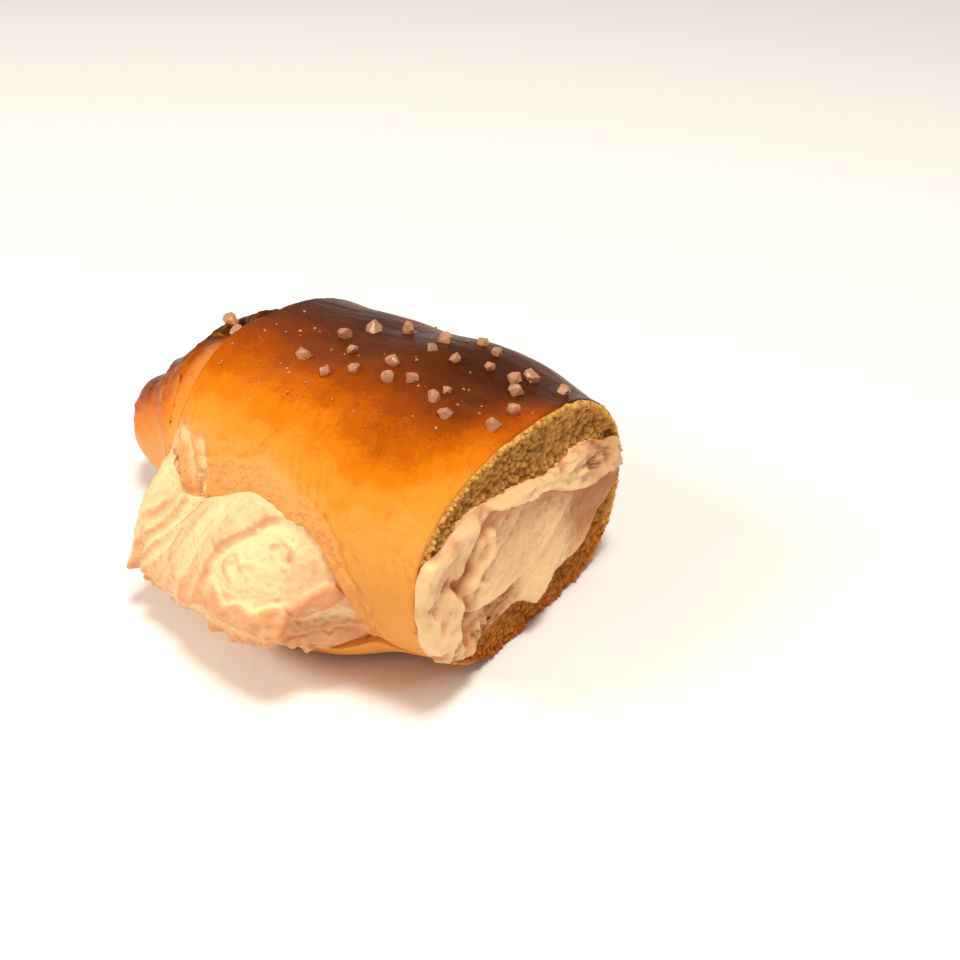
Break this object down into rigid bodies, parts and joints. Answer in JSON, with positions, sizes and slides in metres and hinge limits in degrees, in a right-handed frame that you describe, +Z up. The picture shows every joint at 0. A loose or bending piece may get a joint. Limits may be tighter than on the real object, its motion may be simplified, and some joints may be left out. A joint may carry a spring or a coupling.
{
  "type": "cream-filled salt bread piece",
  "caption": "Larger piece of a cream-filled salt bread roll: rolled crust with coarse salt, slit along its front, whipped cream swelling out of the slit and showing on the cut face",
  "frame": {"origin": "on the flat underside that the bread rests on, below the roll's middle", "axes": "+X runs along the roll from its point to its cut face, +Y to the back, away from the slit, and +Z up"},
  "size_m": [0.1147, 0.0877, 0.0563],
  "materials": {
    "crust": "glazed golden crust, dark brown on top, pale crumb where it is cut",
    "cream": "soft whipped cream, satin"
  },
  "bodies": {
    "root": {"bread": "crust", "cream": "cream"}
  },
  "joints": []
}
